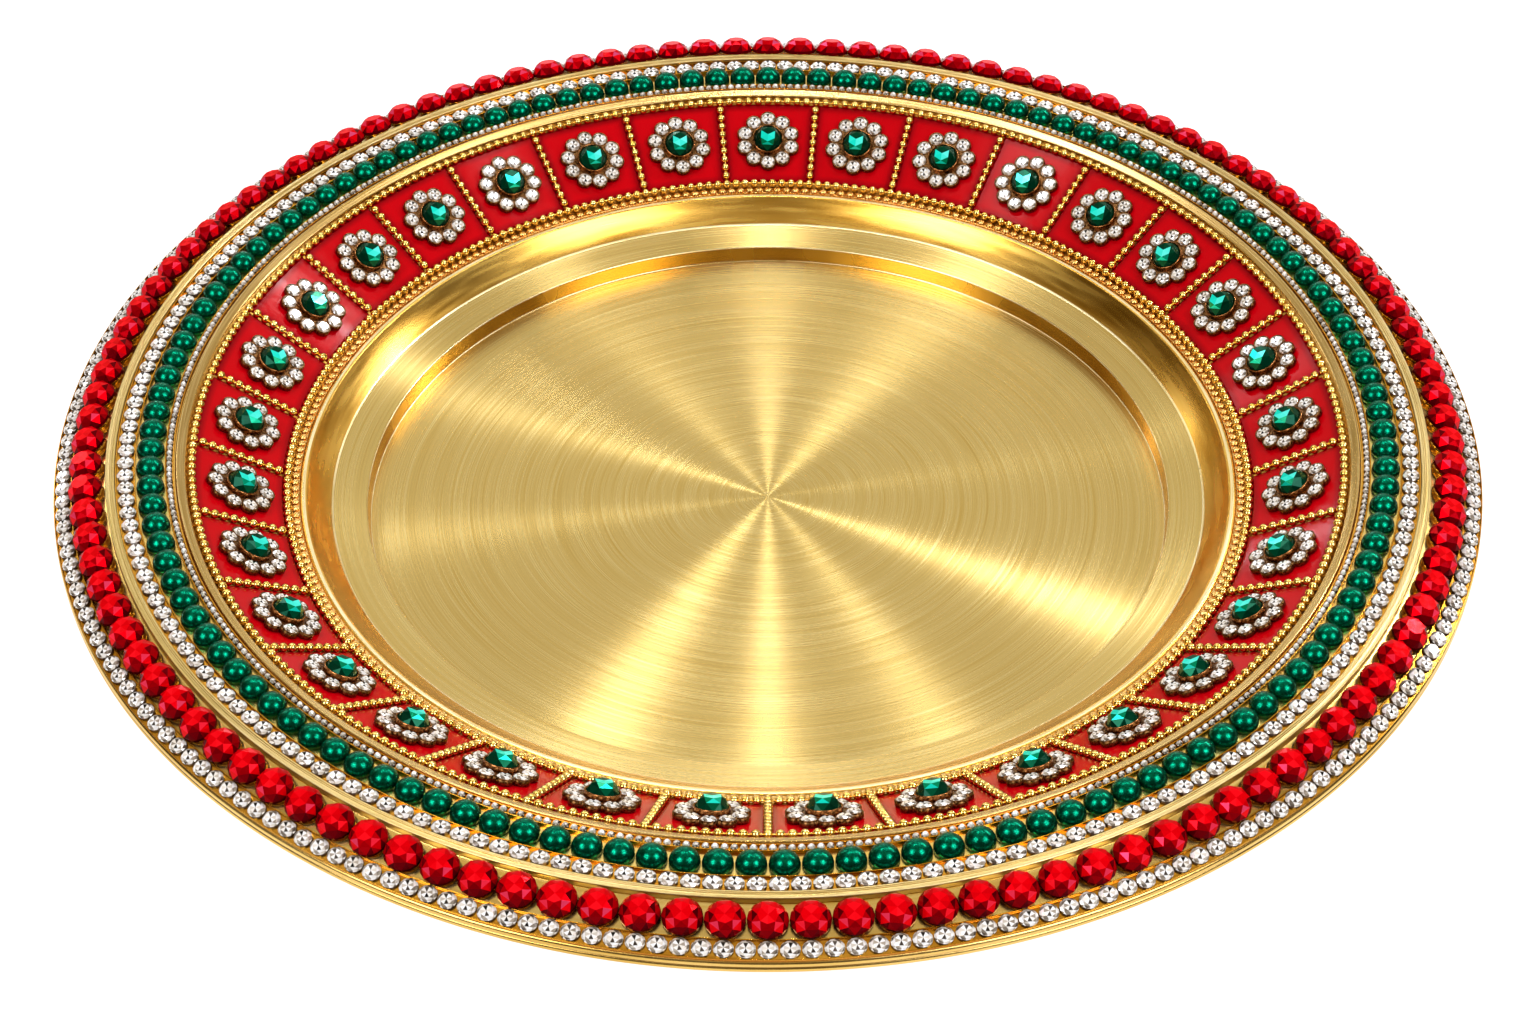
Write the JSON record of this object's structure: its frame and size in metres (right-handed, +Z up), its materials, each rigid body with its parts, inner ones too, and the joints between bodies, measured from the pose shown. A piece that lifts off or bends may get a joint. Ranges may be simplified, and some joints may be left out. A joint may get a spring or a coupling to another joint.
{
  "type": "decorated thali plate",
  "caption": "Round spun brass thali with a recessed floor and a rim of red enamel panels, jewelled medallions, ball chains and rows of set stones.",
  "frame": {"origin": "centre of the flat underside, on the surface the plate rests on", "axes": "+Z up out of the well along the plate's axis; +Y towards the middle of one enamel panel"},
  "size_m": [0.305, 0.305, 0.026],
  "materials": {
    "spun_brass": "satin, circular brushing",
    "band_brass": "brushed",
    "tray_gilt": "bright gilt",
    "cup_gilt": "bright gilt",
    "chain_gilt": "polished",
    "trim_gilt": "polished",
    "antique_bronze": "darkened, worn bright on its edges",
    "ruby_glass": "faceted, foil-backed",
    "emerald_glass": "faceted, foil-backed",
    "green_pearl": "pearl lacquer",
    "clear_crystal": "faceted, silver-foiled back",
    "red_enamel": "gloss enamel"
  },
  "bodies": {
    "root": {"plate_body": "spun_brass", "outer_crystal_tray": "tray_gilt", "outer_crystals": "clear_crystal", "ruby_cups": "cup_gilt", "ruby_stones": "ruby_glass", "outer_gold_band": "band_brass", "middle_crystal_tray": "tray_gilt", "middle_crystals": "clear_crystal", "green_pearls": "green_pearl", "fine_crystal_tray": "tray_gilt", "fine_crystals": "clear_crystal", "inner_gold_band": "band_brass", "outer_ball_chain": "chain_gilt", "red_enamel_panels": "red_enamel", "radial_ball_chains": "chain_gilt", "medallion_settings": "antique_bronze", "medallion_bezels": "cup_gilt", "medallion_emeralds": "emerald_glass", "medallion_crystals": "clear_crystal", "inner_ball_chain": "chain_gilt", "beaded_trim": "trim_gilt"}
  },
  "joints": []
}
